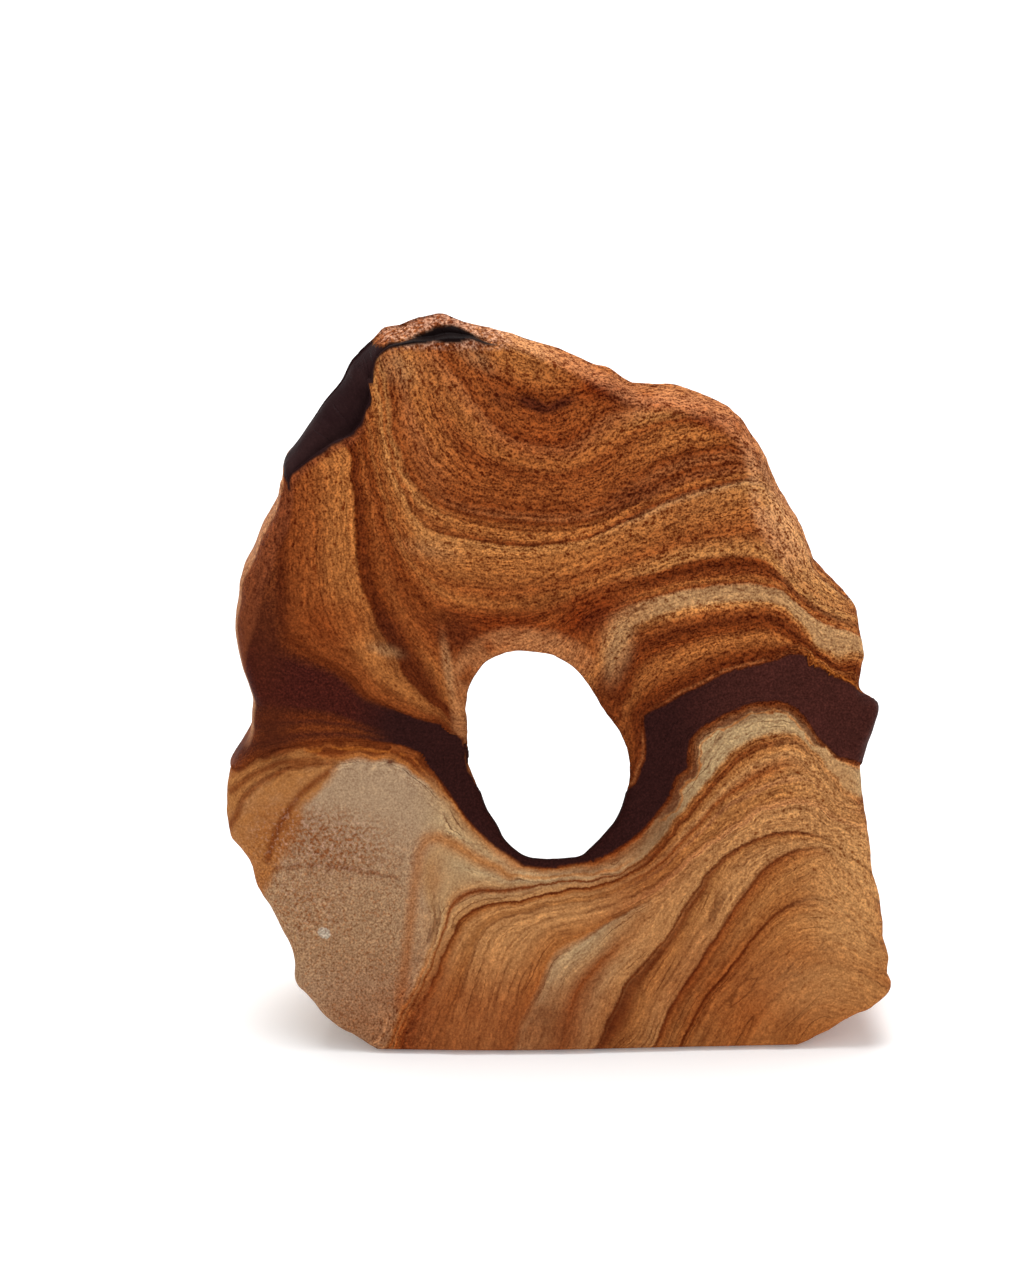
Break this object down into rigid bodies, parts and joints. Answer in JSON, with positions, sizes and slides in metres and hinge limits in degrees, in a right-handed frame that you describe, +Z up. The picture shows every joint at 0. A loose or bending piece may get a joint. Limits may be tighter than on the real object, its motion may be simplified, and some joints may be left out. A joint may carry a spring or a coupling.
{
  "type": "sandstone freeform",
  "caption": "Standing slab of banded sandstone with a leaning smoothed front, an oval hole through it, a natural rim and a flat foot.",
  "frame": {"origin": "middle of the stone's outer box, on the surface that it stands on", "axes": "+X to the right as seen from the front, +Y from the front face to the back, +Z up"},
  "size_m": [0.0946, 0.0364, 0.1003],
  "materials": {
    "sandstone": "matt, fine-grained sandstone in bent tan, cream and rust-brown beds, with one dark maroon iron band that is slightly smoother"
  },
  "bodies": {
    "root": {"stone": "sandstone"}
  },
  "joints": []
}
